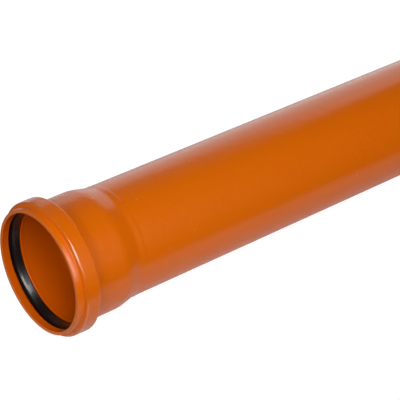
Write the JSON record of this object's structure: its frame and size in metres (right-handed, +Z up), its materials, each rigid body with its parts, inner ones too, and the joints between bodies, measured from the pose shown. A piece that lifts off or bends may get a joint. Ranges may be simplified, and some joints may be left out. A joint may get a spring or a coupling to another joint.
{
  "type": "sewer pipe",
  "caption": "Plain-ended plastic drain pipe with a belled push-fit socket, a raised seal bead and a black rubber lip seal in it.",
  "frame": {"origin": "on the floor under the middle of the pipe's overall length, below the lowest line of the seal bead", "axes": "+X along the pipe's axis from the socket's mouth to the spigot end, +Z up with the pipe lying down"},
  "size_m": [1.0654, 0.1314, 0.1313],
  "materials": {
    "pipe_pvc": "extruded PVC-U, solid orange-brown, semi-gloss with faint draw lines",
    "seal_rubber": "moulded black SBR rubber, smooth with a light sheen"
  },
  "bodies": {
    "root": {"pipe": "pipe_pvc", "seal_ring": "seal_rubber"}
  },
  "joints": []
}
